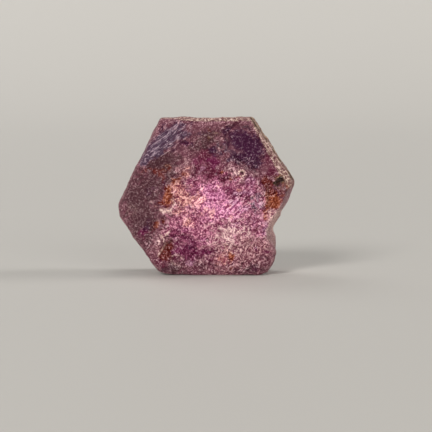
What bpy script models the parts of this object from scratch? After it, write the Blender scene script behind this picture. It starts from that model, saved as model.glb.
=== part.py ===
"""Raw ruby crystal: one thick hexagonal tablet of corundum, standing on a prism face.

Run it with: blender --background --python part.py
Lengths here are in millimetres and turned into metres at the end. +Z is up. The crystal's
long symmetry axis lies along Y, and its better basal face, the front, looks along -Y.
"""

import math
from collections import namedtuple

import bmesh
import bpy
from mathutils import Matrix, Vector, noise

MM = 0.001

# Driving dimensions, in millimetres.
THICKNESS = 14.0  # between the two basal faces
AXIS = Vector((0.0, 0.0, 15.8))  # where the symmetry axis runs above the foot
BACK_LEAN = 1.6  # degrees by which each prism face leans in towards the back
BLOCK = 80.0  # the plain block that the crystal is cut from

# Each flat side: the direction of its outward normal in the XZ plane, in degrees from +X
# towards +Z, and its distance from the symmetry axis. The first six are the prism faces,
# and the rest are corners worn blunt.
Side = namedtuple("Side", "turn distance")
SIDES = {
    "top": Side(90.6, 15.75),
    "upper_right": Side(33.8, 16.3),
    "lower_right": Side(-25.6, 17.3),
    "foot": Side(-90.0, 16.2),
    "lower_left": Side(-143.1, 16.6),
    "upper_left": Side(153.7, 15.4),
    "left_corner": Side(184.5, 18.0),
    "foot_left_corner": Side(-115.0, 17.8),
    "foot_right_corner": Side(-59.0, 19.35),
}

# Slanting facets where a prism face meets a basal face: the prism face, the width seen
# straight on, and the slope against the basal face in degrees.
Bevel = namedtuple("Bevel", "side width slope")
FRONT_BEVELS = (
    Bevel("top", 0.9, 38.0),
    Bevel("upper_right", 2.1, 42.0),
    Bevel("lower_right", 0.9, 45.0),
    Bevel("foot", 0.6, 45.0),
    Bevel("lower_left", 0.6, 50.0),
    Bevel("upper_left", 0.5, 50.0),
    Bevel("left_corner", 0.7, 40.0),
)
BACK_BEVELS = (
    Bevel("top", 1.6, 35.0),
    Bevel("upper_right", 0.9, 50.0),
    Bevel("lower_right", 1.2, 45.0),
    Bevel("foot", 1.0, 45.0),
    Bevel("lower_left", 2.4, 30.0),
    Bevel("upper_left", 0.8, 50.0),
)

# The slab broken off the lower right prism face: its outline in x and z, and how much deeper
# the break goes at the front than at the back.
BREAK_OUTLINE = (
    (18.2, 19.4),
    (16.0, 14.1),
    (13.8, 10.3),
    (12.9, 8.6),
    (13.3, 7.3),
    (14.4, 5.2),
    (23.0, 2.0),
    (23.0, 20.0),
)
BREAK_TURN = -5.0  # degrees about Z

# The foot: a flat patch to stand on, with the prism face lifting clear at both ends.
FOOT_LEFT, FOOT_RIGHT = -3.4, 4.6
FOOT_LIFT = 0.5
FOOT_LIFT_RUN = 1.6

# Low forms of the two basal faces, as ragged ellipses: centre x and z, half-width and
# half-height, turn in degrees, height (a hollow's is negative), and the width of its edge
# as a share of its size.
Form = namedtuple("Form", "x z wide tall turn height edge")
FRONT_FORMS = {
    "middle_swell": Form(2.2, 13.6, 8.6, 6.6, 20, 0.55, 0.75),
    "plum_hollow": Form(8.0, 25.6, 5.6, 3.3, -50, -0.95, 0.16),
    "plum_hollow_tail": Form(11.6, 21.6, 2.4, 3.0, -20, -0.7, 0.25),
    "upper_hollow": Form(0.6, 23.6, 3.0, 3.9, 10, -0.6, 0.35),
    "brow_hollow": Form(-4.2, 26.4, 3.3, 1.3, 28, -0.55, 0.4),
    "lower_left_hollow": Form(-4.4, 5.4, 4.5, 2.7, -12, -0.85, 0.22),
    "lower_hollow": Form(2.4, 4.6, 3.0, 1.6, 8, -0.45, 0.4),
    "right_crevice": Form(13.5, 16.2, 1.5, 4.2, 4, -0.9, 0.3),
    "right_pit": Form(14.7, 18.6, 0.95, 0.8, 20, -1.5, 0.3),
    "rust_notch": Form(-8.0, 15.6, 1.3, 2.6, -8, -0.55, 0.3),
    "left_cleft": Form(-10.2, 10.0, 1.7, 1.1, 30, -0.5, 0.3),
    "pale_block": Form(5.9, 8.2, 3.1, 2.3, 10, 0.5, 0.16),
    "pale_knob": Form(6.2, 20.9, 2.4, 1.1, -18, 0.5, 0.25),
    "pale_tooth": Form(-7.9, 12.7, 1.5, 0.9, 15, 0.55, 0.25),
    "pale_ledge": Form(-9.3, 7.0, 2.3, 1.1, 35, 0.45, 0.2),
    "small_crater": Form(7.1, 20.8, 0.55, 0.5, 0, -0.5, 0.4),
    "foot_crater": Form(-6.4, 2.6, 0.9, 0.8, 0, -0.35, 0.4),
}
BACK_FORMS = {
    "back_swell": Form(1.5, 17.5, 10.5, 8.5, -15, 0.5, 0.6),
    "shell_hollow": Form(-7.2, 20.4, 5.4, 4.2, 25, -1.3, 0.3),
    "shell_hollow_heel": Form(-4.4, 17.2, 3.2, 2.4, 40, -0.7, 0.25),
    "chipped_shoulder": Form(10.4, 23.5, 3.6, 5.2, 35, -1.2, 0.2),
    "back_crevice": Form(3.2, 8.4, 6.4, 1.1, -22, -0.7, 0.35),
    "back_pit": Form(9.0, 13.0, 1.1, 0.9, 0, -0.9, 0.35),
    "back_pit_small": Form(-1.0, 25.6, 0.8, 0.7, 0, -0.7, 0.35),
    "lower_hollow_back": Form(-8.4, 7.6, 3.4, 2.5, -30, -0.8, 0.25),
}

# Ledges: everything beyond a ragged line drops by a step. The line passes through x and z
# with its fall along turn, and the step fades out past its reach along the line.
Ledge = namedtuple("Ledge", "x z turn drop reach")
FRONT_LEDGES = (
    Ledge(-8.9, 15.2, 166.0, 0.85, 7.6),
    Ledge(-12.9, 12.6, 150.0, 0.35, 6.0),
    Ledge(-1.0, 24.4, 118.0, 0.3, 8.0),
    Ledge(11.2, 9.4, -38.0, 0.4, 6.0),
    Ledge(6.6, 3.2, -98.0, 0.35, 7.0),
)
BACK_LEDGES = (
    Ledge(-2.0, 22.5, 90.0, 0.6, 12.0),
    Ledge(5.6, 11.0, -30.0, 0.7, 10.0),
    Ledge(-6.2, 12.2, 210.0, 0.55, 9.0),
    Ledge(9.6, 8.2, -30.0, 0.5, 6.0),
)

# Leaning facets: past a line the face slopes away. Slope is the fall per millimetre.
Slant = namedtuple("Slant", "x z turn slope")
FRONT_SLANTS = (
    Slant(-8.6, 25.9, 127.7, 0.24),
    Slant(-14.6, 11.5, 200.0, 0.16),
    Slant(3.0, 1.9, -90.0, 0.22),
)
BACK_SLANTS = (
    Slant(6.5, 27.0, 60.0, 0.3),
    Slant(-12.5, 6.5, 205.0, 0.35),
)

# How ragged the outlines of these are: the size of the bays, and how far they reach.
Ragged = namedtuple("Ragged", "size reach")
FORM_RAGGED = Ragged(1.5, 0.16)  # the reach is a share of the form's own size
LEDGE_RAGGED = Ragged(2.6, 0.9)
SLANT_RAGGED = Ragged(3.0, 0.5)
LEDGE_RAMP = (-0.15, 0.35)  # where the fall of a ledge starts and ends
LEDGE_FADE = (0.7, 1.2)  # where a ledge starts to fade and has gone, as shares of its reach

# Growth steps round the sides, parallel to the basal faces: spacing, and deepest recess.
GROWTH_BANDS = ((3.7, 0.3), (1.45, 0.18))
GROWTH_SKIN = (1.0, 1.7)  # a face this deep inside the prism is a break, with no growth steps

# Small cleavage facets all over: their size, and how steeply they lean.
FACETS = ((4.2, 0.05), (1.9, 0.09))
FACET_SHIFT = 0.35  # how far noise bends the joints between facets, as a share of their size
FACET_SCATTER = 7.7  # sets neighbouring facets apart in the noise that tilts them
NOISE_SEED = 5  # fixes the noise that bends their joints

# Parting steps: the basal faces break along three straight directions, sixty degrees apart.
# Each pair is a spacing and the deepest step.
PARTING_TURNS = (32.0, 92.0, 152.0)
PARTING_STEPS = ((3.1, 0.1), (1.3, 0.06))

# The steps of both kinds waver: the length of a waver, and its width in bands.
GROWTH_WAVER = (9.0, 0.5)
PARTING_WAVER = (6.0, 0.35)
STEP_RAMP = 0.25  # the share of a band that slopes to the next one

RELIEF_REACH = 5.0  # how deep the forms of a basal face shift what lies behind them
SIDE_TURN = (0.35, 0.85)  # the normal's Y part where side faces end and basal faces begin
FOOT_TURN = (0.6, 0.95)  # how far the normal points down where the foot begins, and is whole
FOOT_SMOOTHNESS = 0.8  # the share of the facets' relief that is worn off the foot

VOXEL = 0.3  # the grain of the skin that is weathered
TRIANGLES = 9400  # what is left of it
RUBY_COLOUR = (0.27, 0.085, 0.14, 1.0)


def direction(turn):
    """The unit vector in the XZ plane at this many degrees from +X towards +Z."""
    return Vector((math.cos(math.radians(turn)), 0.0, math.sin(math.radians(turn))))


def smooth_step(low, high, value):
    """0 below low, 1 above high, and a smooth rise between them."""
    share = min(1.0, max(0.0, (value - low) / (high - low)))
    return share * share * (3.0 - 2.0 * share)


def clear_scene():
    for obj in list(bpy.data.objects):
        bpy.data.objects.remove(obj, do_unlink=True)


def new_collection(name):
    collection = bpy.data.collections.new(name)
    bpy.context.scene.collection.children.link(collection)
    return collection


def cut_by_plane(bm, point, normal):
    """Keeps what lies behind the plane, and closes the cut with one flat face."""
    cut = bmesh.ops.bisect_plane(
        bm,
        geom=bm.verts[:] + bm.edges[:] + bm.faces[:],
        plane_co=point,
        plane_no=normal,
        clear_outer=True,
    )
    rim = [item for item in cut["geom_cut"] if isinstance(item, bmesh.types.BMEdge)]
    if rim:
        bmesh.ops.contextual_create(bm, geom=rim)


def cut_bevels(bm, bevels, facing):
    """Cuts the slanting facets of one basal face; facing is -1 at the front and 1 at the back."""
    for bevel in bevels:
        side = SIDES[bevel.side]
        outward = direction(side.turn)
        point = AXIS + outward * (side.distance - bevel.width)
        point.y = facing * THICKNESS / 2
        slope = math.radians(bevel.slope)
        normal = outward * math.sin(slope) + Vector((0, facing, 0)) * math.cos(slope)
        cut_by_plane(bm, point, normal)


def crystal_blank(collection):
    """The crystal's ideal form: a block cut down by one plane for each of its flat faces."""
    bm = bmesh.new()
    bmesh.ops.create_cube(bm, size=BLOCK)
    for facing in (-1, 1):
        normal = Vector((0, facing, 0))
        cut_by_plane(bm, normal * THICKNESS / 2, normal)
    lean = math.tan(math.radians(BACK_LEAN))
    for side in SIDES.values():
        outward = direction(side.turn)
        front_edge = AXIS + outward * side.distance + Vector((0, -THICKNESS / 2, 0))
        cut_by_plane(bm, front_edge, outward + Vector((0, lean, 0)))
    cut_bevels(bm, FRONT_BEVELS, -1)
    cut_bevels(bm, BACK_BEVELS, 1)
    bmesh.ops.recalc_face_normals(bm, faces=bm.faces)
    mesh = bpy.data.meshes.new("ruby_crystal")
    bm.to_mesh(mesh)
    bm.free()
    blank = bpy.data.objects.new("ruby_crystal", mesh)
    collection.objects.link(blank)
    return blank


def as_cutter(obj):
    obj.hide_render = True
    obj.display_type = "WIRE"
    return obj


def broken_slab(collection):
    """The piece that is missing from the lower right side, as a cutter."""
    outline = bpy.data.curves.new("broken_slab", "CURVE")
    outline.dimensions = "2D"
    outline.fill_mode = "BOTH"
    outline.extrude = THICKNESS
    spline = outline.splines.new("POLY")
    spline.points.add(len(BREAK_OUTLINE) - 1)
    for point, (x, z) in zip(spline.points, BREAK_OUTLINE):
        point.co = (x, z, 0.0, 1.0)
    spline.use_cyclic_u = True
    shape = bpy.data.objects.new("broken_slab", outline)
    collection.objects.link(shape)
    # The outline is drawn flat, stood up, and turned about its upper end at the back.
    hinge = Vector((BREAK_OUTLINE[0][0], THICKNESS / 2, 0.0))
    shape.matrix_world = (
        Matrix.Translation(hinge)
        @ Matrix.Rotation(math.radians(BREAK_TURN), 4, "Z")
        @ Matrix.Translation(-hinge)
        @ Matrix.Rotation(math.radians(90), 4, "X")
    )
    bpy.context.view_layer.update()
    solid = bpy.data.meshes.new_from_object(
        shape.evaluated_get(bpy.context.evaluated_depsgraph_get())
    )
    bm = bmesh.new()
    bm.from_mesh(solid)
    bmesh.ops.remove_doubles(bm, verts=bm.verts, dist=0.001)
    bmesh.ops.recalc_face_normals(bm, faces=bm.faces)
    bm.to_mesh(solid)
    bm.free()
    cutter = bpy.data.objects.new("broken_slab_cutter", solid)
    cutter.matrix_world = shape.matrix_world
    bpy.data.objects.remove(shape, do_unlink=True)
    collection.objects.link(cutter)
    return as_cutter(cutter)


def floor_block(collection):
    """The space below the surface that the crystal stands on, as a cutter."""
    bm = bmesh.new()
    bmesh.ops.create_cube(bm, size=BLOCK, matrix=Matrix.Translation((0, 0, -BLOCK / 2)))
    mesh = bpy.data.meshes.new("floor_block")
    bm.to_mesh(mesh)
    bm.free()
    block = bpy.data.objects.new("floor_block", mesh)
    collection.objects.link(block)
    return as_cutter(block)


def add_difference(obj, cutter):
    modifier = obj.modifiers.new(cutter.name, "BOOLEAN")
    modifier.operation = "DIFFERENCE"
    modifier.object = cutter


def apply_modifiers(obj):
    """Replaces the object's mesh by the one that its modifiers make."""
    bpy.context.view_layer.update()
    graph = bpy.context.evaluated_depsgraph_get()
    obj.data = bpy.data.meshes.new_from_object(obj.evaluated_get(graph))
    obj.modifiers.clear()


def remesh_evenly(obj):
    """Gives the blank an even skin of small faces, which the weathering can move."""
    modifier = obj.modifiers.new("even_skin", "REMESH")
    modifier.mode = "VOXEL"
    modifier.voxel_size = VOXEL
    modifier.adaptivity = 0.0
    apply_modifiers(obj)


def ragged(x, z, seed, kind):
    """How far an outline on a basal face strays from its ideal course at x and z."""
    place = Vector((x / kind.size, seed, z / kind.size))
    return kind.reach * noise.fractal(place, 0.6, 2.2, 3)


def form_height(form, x, z, seed):
    outward = direction(form.turn)
    dx, dz = x - form.x, z - form.z
    along = (dx * outward.x + dz * outward.z) / form.wide
    across = (dz * outward.x - dx * outward.z) / form.tall
    radius = math.hypot(along, across) + ragged(x, z, seed, FORM_RAGGED)
    return form.height * (1.0 - smooth_step(1.0 - form.edge, 1.0 + form.edge, radius))


def ledge_height(ledge, x, z, seed):
    fall = direction(ledge.turn)
    dx, dz = x - ledge.x, z - ledge.z
    beyond = dx * fall.x + dz * fall.z + ragged(x, z, seed, LEDGE_RAGGED)
    along = abs(dz * fall.x - dx * fall.z) / ledge.reach
    fade = 1.0 - smooth_step(*LEDGE_FADE, along)
    return -ledge.drop * fade * smooth_step(*LEDGE_RAMP, beyond)


def slant_height(slant, x, z, seed):
    fall = direction(slant.turn)
    beyond = (x - slant.x) * fall.x + (z - slant.z) * fall.z
    beyond += ragged(x, z, seed, SLANT_RAGGED)
    return -slant.slope * max(0.0, beyond)


def basal_relief(x, z, forms, ledges, slants):
    """How far a basal face stands out from its ideal plane at x and z."""
    height = parting_relief(x, z, len(forms))
    height += sum(form_height(form, x, z, n) for n, form in enumerate(forms.values()))
    height += sum(ledge_height(ledge, x, z, n) for n, ledge in enumerate(ledges))
    height += sum(slant_height(slant, x, z, n) for n, slant in enumerate(slants))
    return height


def banded(place, seed):
    """A level from 0 to 1 for each whole number passed, with a short ramp between levels."""
    band = math.floor(place)
    here = noise.cell(Vector((band + 0.5, seed, 0.5)))
    beyond = noise.cell(Vector((band + 1.5, seed, 0.5)))
    return here + (beyond - here) * smooth_step(1.0 - STEP_RAMP, 1.0, place - band)


def depth_inside(point):
    """How far the point lies inside the nearest prism face, leaving out that face's lean."""
    around = point - AXIS
    return min(side.distance - around.dot(direction(side.turn)) for side in SIDES.values())


def growth_relief(point):
    """Recess of a side face at this point: steps that run round the crystal.

    They are growth marks, so they are missing where a piece has broken off."""
    length, width = GROWTH_WAVER
    depth = 0.0
    for spacing, deepest in GROWTH_BANDS:
        waver = width * noise.noise(Vector((point.x, spacing, point.z)) / length)
        depth += deepest * banded(point.y / spacing + waver, spacing)
    return -depth * (1.0 - smooth_step(*GROWTH_SKIN, depth_inside(point)))


def parting_relief(x, z, seed):
    """Low straight-edged steps along the three parting directions of a basal face."""
    length, width = PARTING_WAVER
    depth = 0.0
    for number, turn in enumerate(PARTING_TURNS, seed):
        along = direction(turn)
        across = z * along.x - x * along.z
        run = x * along.x + z * along.z
        waver = width * noise.noise(Vector((run, across, number * length)) / length)
        for spacing, deepest in PARTING_STEPS:
            depth += deepest * banded(across / spacing + waver, number + spacing)
    return -depth


def facet_relief(point):
    """Height of a surface broken into small flat facets that lean at random."""
    height = 0.0
    for size, lean in FACETS:
        place = point / size + FACET_SHIFT * noise.noise_vector(point / size)
        centre = noise.voronoi(place)[1][0]
        tilt = 2.0 * noise.cell_vector(centre * FACET_SCATTER) - Vector((1.0, 1.0, 1.0))
        height += (place - centre).dot(tilt) * lean * size
    return height


def foot_lift(x):
    """How far the foot's face lifts clear of the surface towards its two ends."""
    left = smooth_step(0.0, FOOT_LIFT_RUN, FOOT_LEFT - x)
    right = smooth_step(0.0, FOOT_LIFT_RUN, x - FOOT_RIGHT)
    return FOOT_LIFT * max(left, right)


def weather(obj):
    """Moves every point of the even skin from the ideal form to the natural, worn one."""
    mesh = obj.data
    moved = []
    for vertex in mesh.vertices:
        point, normal = vertex.co.copy(), vertex.normal.copy()
        front = 1.0 - smooth_step(0.0, RELIEF_REACH, point.y + THICKNESS / 2)
        back = 1.0 - smooth_step(0.0, RELIEF_REACH, THICKNESS / 2 - point.y)
        side = 1.0 - smooth_step(*SIDE_TURN, abs(normal.y))
        foot = smooth_step(*FOOT_TURN, -normal.z)
        offset = Vector()
        if front > 0.0:
            height = basal_relief(point.x, point.z, FRONT_FORMS, FRONT_LEDGES, FRONT_SLANTS)
            offset.y -= front * height
        if back > 0.0:
            height = basal_relief(point.x, point.z, BACK_FORMS, BACK_LEDGES, BACK_SLANTS)
            offset.y += back * height
        offset += normal * side * (1.0 - foot) * growth_relief(point)
        offset += normal * (1.0 - FOOT_SMOOTHNESS * foot) * facet_relief(point)
        offset.z += foot * foot_lift(point.x)
        moved.append(point + offset)
    for vertex, place in zip(mesh.vertices, moved):
        vertex.co = place


def simplify(obj):
    """Brings the skin down to its share of triangles, keeping edges and ledges."""
    count = sum(len(face.vertices) - 2 for face in obj.data.polygons)
    modifier = obj.modifiers.new("fewer_faces", "DECIMATE")
    modifier.ratio = TRIANGLES / count
    modifier.use_collapse_triangulate = True
    apply_modifiers(obj)


def set_on_origin(obj):
    """Puts the middle of the foot's level at the origin, and turns millimetres to metres."""
    corners = [Vector(vertex.co) for vertex in obj.data.vertices]
    middle = Vector(
        (
            (min(c.x for c in corners) + max(c.x for c in corners)) / 2,
            (min(c.y for c in corners) + max(c.y for c in corners)) / 2,
            0.0,
        )
    )
    obj.data.transform(Matrix.Scale(MM, 4) @ Matrix.Translation(-middle))


def ruby_material():
    material = bpy.data.materials.new("ruby")
    material.use_nodes = True
    shader = material.node_tree.nodes["Principled BSDF"]
    shader.inputs["Base Color"].default_value = RUBY_COLOUR
    shader.inputs["Roughness"].default_value = 0.5
    shader.inputs["Metallic"].default_value = 0.0
    return material


def main():
    noise.seed_set(NOISE_SEED)
    clear_scene()
    parts = new_collection("raw_ruby_crystal")
    cutters = new_collection("cutters")
    crystal = crystal_blank(parts)
    add_difference(crystal, broken_slab(cutters))
    apply_modifiers(crystal)
    remesh_evenly(crystal)
    weather(crystal)
    simplify(crystal)
    add_difference(crystal, floor_block(cutters))
    apply_modifiers(crystal)
    set_on_origin(crystal)
    crystal.data.materials.clear()
    crystal.data.materials.append(ruby_material())


main()
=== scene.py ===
import math
from types import SimpleNamespace

import bpy
import numpy as np
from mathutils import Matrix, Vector, noise


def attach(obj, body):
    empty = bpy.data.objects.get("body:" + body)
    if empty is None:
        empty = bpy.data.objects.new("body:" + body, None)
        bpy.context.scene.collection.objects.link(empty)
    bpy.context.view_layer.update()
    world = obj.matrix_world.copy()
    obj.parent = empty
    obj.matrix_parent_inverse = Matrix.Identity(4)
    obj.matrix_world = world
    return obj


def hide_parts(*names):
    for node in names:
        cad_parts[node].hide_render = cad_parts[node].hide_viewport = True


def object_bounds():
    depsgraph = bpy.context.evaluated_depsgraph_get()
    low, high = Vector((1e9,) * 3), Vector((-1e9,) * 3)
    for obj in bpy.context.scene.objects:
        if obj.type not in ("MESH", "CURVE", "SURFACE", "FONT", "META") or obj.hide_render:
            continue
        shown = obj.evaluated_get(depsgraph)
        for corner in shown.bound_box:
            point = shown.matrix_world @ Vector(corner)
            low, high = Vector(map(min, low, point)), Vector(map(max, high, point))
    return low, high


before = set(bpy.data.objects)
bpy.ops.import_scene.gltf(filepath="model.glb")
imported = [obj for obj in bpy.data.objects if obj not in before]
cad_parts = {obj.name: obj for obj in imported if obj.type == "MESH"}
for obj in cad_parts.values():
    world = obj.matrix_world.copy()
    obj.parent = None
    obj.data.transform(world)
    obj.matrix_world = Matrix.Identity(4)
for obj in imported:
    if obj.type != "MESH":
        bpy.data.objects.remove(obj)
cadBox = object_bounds()
print("frame loaded")


class Wire:
    # One socket of a material's nodes. Arithmetic on it adds Math nodes.
    def __init__(self, tree, socket):
        self.tree = tree
        self.socket = socket

    # Any node: its type, its settings, then a value or a wire for each input.
    def node(self, kind, settings=None, inputs=None, output=0):
        made = self.tree.nodes.new(kind)
        for name, value in (settings or {}).items():
            setattr(made, name, value)
        for key, value in (inputs or {}).items():
            if isinstance(value, Wire):
                self.tree.links.new(value.socket, made.inputs[key])
            else:
                made.inputs[key].default_value = value
        return Wire(self.tree, made.outputs[output])

    def math(self, operation, first, second):
        return self.node("ShaderNodeMath", {"operation": operation}, {0: first, 1: second})

    def __add__(self, other):
        return self.math("ADD", self, other)

    def __radd__(self, other):
        return self.math("ADD", other, self)

    def __sub__(self, other):
        return self.math("SUBTRACT", self, other)

    def __rsub__(self, other):
        return self.math("SUBTRACT", other, self)

    def __mul__(self, other):
        return self.math("MULTIPLY", self, other)

    def __rmul__(self, other):
        return self.math("MULTIPLY", other, self)

    def unsigned(self):
        return self.node("ShaderNodeMath", {"operation": "ABSOLUTE"}, {0: self})

    # 0 where the value is below low, 1 above high, smooth between
    def rise(self, low, high):
        return self.node(
            "ShaderNodeMapRange", {"interpolation_type": "SMOOTHSTEP"}, {0: self, 1: low, 2: high}
        )

    # this colour, turned into another one where the mask is 1
    def toward(self, colour, mask, mode="MIX"):
        settings = {"data_type": "RGBA", "blend_type": mode}
        return self.node("ShaderNodeMix", settings, {0: mask, 6: self, 7: colour}, 2)

    # this vector, added to, taken from or multiplied by another one
    def vector(self, operation, other):
        return self.node("ShaderNodeVectorMath", {"operation": operation}, {0: self, 1: other})

    # this vector, turned in the front face and drawn out
    def turned(self, angle, stretch):
        mapping = {"vector_type": "TEXTURE"}
        turn = (0, math.radians(angle), 0)
        return self.node("ShaderNodeMapping", mapping, {0: self, 2: turn, 3: stretch})


# a colour as a screen shows it, 0 to 255, turned into the linear one that nodes take
def paint(red, green, blue):
    linear = []
    for level in (red, green, blue):
        share = level / 255
        value = share / 12.92 if share <= 0.04045 else ((share + 0.055) / 1.055) ** 2.4
        linear.append(min(0.95, value))  # nothing real is whiter than this
    return (*linear, 1.0)


view = {
    "turn": 3.0,  # degrees to the crystal's right
    "rise": 4.5,  # degrees above level
    "distance": 0.36,  # m from the front face
    "lens": 150.0,  # mm
    "sensor": 36.0,
    "aimRight": 0.0021,  # m from the middle of the front face
    "aimUp": -0.0037,
    "frontFace": -0.0075,  # its y
    "middle": 0.0158,  # m above the floor
    "near": 0.01,
}

studio = {
    # big soft lights a long way off: where each comes from, strength, its width in degrees
    "suns": {
        "key": ((-0.50, -1.10, 0.70), 1.95, 20.0),
        "fill": ((0.60, -1.20, 0.36), 0.9, 32.0),
        "crown": ((0.18, 0.18, 1.02), 0.6, 32.0),
        "rim": ((1.00, 0.20, 0.60), 1.0, 24.0),
        "back": ((-0.60, 0.78, 0.90), 0.6, 32.0),
    },
    "ambient": 0.13,
    "ambientColour": (1.0, 0.98, 0.96, 1.0),
    "floorColour": (196, 192, 185),
    "floorReach": 1.0,  # where the paper starts to curve up, m from the middle
    "curve": 2.0,  # radius of the curve, m
    "curveTurn": 35.0,  # degrees
    "floorRings": 24,
    "floorSpokes": 96,
    "floorRoughness": 0.6,
}


def aimedAlong(obj, back):
    obj.rotation_mode = "QUATERNION"
    obj.rotation_quaternion = Vector(back).to_track_quat("Z", "Y")


def makeCamera():
    turn, rise = math.radians(view["turn"]), math.radians(view["rise"])
    back = Vector((math.sin(turn) * math.cos(rise), -math.cos(turn) * math.cos(rise), math.sin(rise)))
    right = Vector((math.cos(turn), math.sin(turn), 0.0))
    up = back.cross(right)
    lens = bpy.data.cameras.new("camera")
    lens.lens = view["lens"]
    lens.sensor_width = view["sensor"]
    lens.clip_start = view["near"]
    camera = bpy.data.objects.new("camera", lens)
    bpy.context.scene.collection.objects.link(camera)
    aim = Vector((0.0, view["frontFace"], view["middle"]))
    aim += right * view["aimRight"] + up * view["aimUp"]
    camera.location = aim + back * view["distance"]
    aimedAlong(camera, back)
    bpy.context.scene.camera = camera


def makeLights():
    middle = Vector((0.0, 0.0, view["middle"]))
    for name, (place, strength, width) in studio["suns"].items():
        sun = bpy.data.lights.new(name, "SUN")
        sun.energy = strength
        sun.angle = math.radians(width)
        light = bpy.data.objects.new(name, sun)
        bpy.context.scene.collection.objects.link(light)
        light.location = place
        aimedAlong(light, Vector(place) - middle)
    world = bpy.data.worlds.new("studio")
    world.use_nodes = True
    background = world.node_tree.nodes["Background"]
    background.inputs["Color"].default_value = studio["ambientColour"]
    background.inputs["Strength"].default_value = studio["ambient"]
    bpy.context.scene.world = world


def makeFloor():
    # a wide dish of paper: flat in the middle, curving up a long way off on every side
    rings, spokes = studio["floorRings"], studio["floorSpokes"]
    points = [(0.0, 0.0, 0.0)]
    for ring in range(rings + 1):
        turn = math.radians(studio["curveTurn"]) * ring / rings
        reach = studio["floorReach"] + studio["curve"] * math.sin(turn)
        height = studio["curve"] * (1 - math.cos(turn))
        for spoke in range(spokes):
            angle = 2 * math.pi * spoke / spokes
            points.append((reach * math.cos(angle), reach * math.sin(angle), height))
    faces = [(0, 1 + spoke, 1 + (spoke + 1) % spokes) for spoke in range(spokes)]
    for ring in range(rings):
        for spoke in range(spokes):
            near, far = 1 + ring * spokes, 1 + (ring + 1) * spokes
            beside = (spoke + 1) % spokes
            faces.append((near + spoke, far + spoke, far + beside, near + beside))
    mesh = bpy.data.meshes.new("paper")
    mesh.from_pydata(points, [], faces)
    mesh.shade_smooth()
    floor = bpy.data.objects.new("paper", mesh)
    bpy.context.scene.collection.objects.link(floor)
    material = bpy.data.materials.new("paper")
    material.use_nodes = True
    shader = material.node_tree.nodes["Principled BSDF"]
    shader.inputs["Base Color"].default_value = paint(*studio["floorColour"])
    shader.inputs["Roughness"].default_value = studio["floorRoughness"]
    mesh.materials.append(material)


makeCamera()
makeLights()
makeFloor()
bpy.context.scene.view_settings.view_transform = "Standard"
print("camera, light and floor made")

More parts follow.
